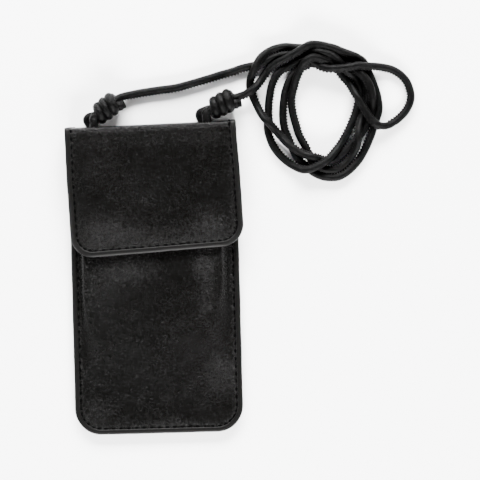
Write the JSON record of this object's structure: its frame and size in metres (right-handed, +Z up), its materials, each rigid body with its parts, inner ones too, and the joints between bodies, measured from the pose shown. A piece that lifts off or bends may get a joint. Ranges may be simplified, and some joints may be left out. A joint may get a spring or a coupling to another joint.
{
  "type": "neck pouch wallet",
  "caption": "Flat rounded leather phone pouch with a fold-over flap, edge binding and a round leather neck cord knotted to its top end, lying on its back with the cord loosely coiled.",
  "frame": {"origin": "centre of the pouch's outline on its back face, which is the surface that it lies on", "axes": "+X across the pouch, +Y along it towards the fold of the flap, +Z up from the back through the flap"},
  "size_m": [0.2036, 0.2251, 0.0154],
  "materials": {
    "leather": "semi-gloss fine grain",
    "edge_leather": "smooth semi-gloss",
    "cord_leather": "satin",
    "lining": "matt weave",
    "thread": "matt thread",
    "snap_metal": "satin"
  },
  "bodies": {
    "pouch": {"back_panel": "leather", "back_lining": "lining", "card_slot": "leather", "front_panel": "leather", "front_lining": "lining", "mouth_binding": "edge_leather", "body_binding": "edge_leather", "body_seam_thread": "thread", "snap_socket": "snap_metal", "cord_loop_left": "cord_leather", "cord_loop_right": "cord_leather", "knot_left": "cord_leather", "knot_right": "cord_leather", "cord_tail_left": "cord_leather", "cord_tail_right": "cord_leather", "cord_run_left": "cord_leather", "cord_run_right": "cord_leather", "cord_side_loop": "cord_leather", "cord_coil": "cord_leather"},
    "flap": {"flap_panel": "leather", "flap_lining": "lining", "flap_binding": "edge_leather", "flap_seam_thread": "thread", "snap_stud": "snap_metal"}
  },
  "joints": [
    {"name": "flap_fold", "type": "hinge", "parent": "pouch", "child": "flap", "pos_m": [0, 0.0887, 0.0138], "axis": [-1, 0, 0], "range_deg": [0, 170]}
  ]
}
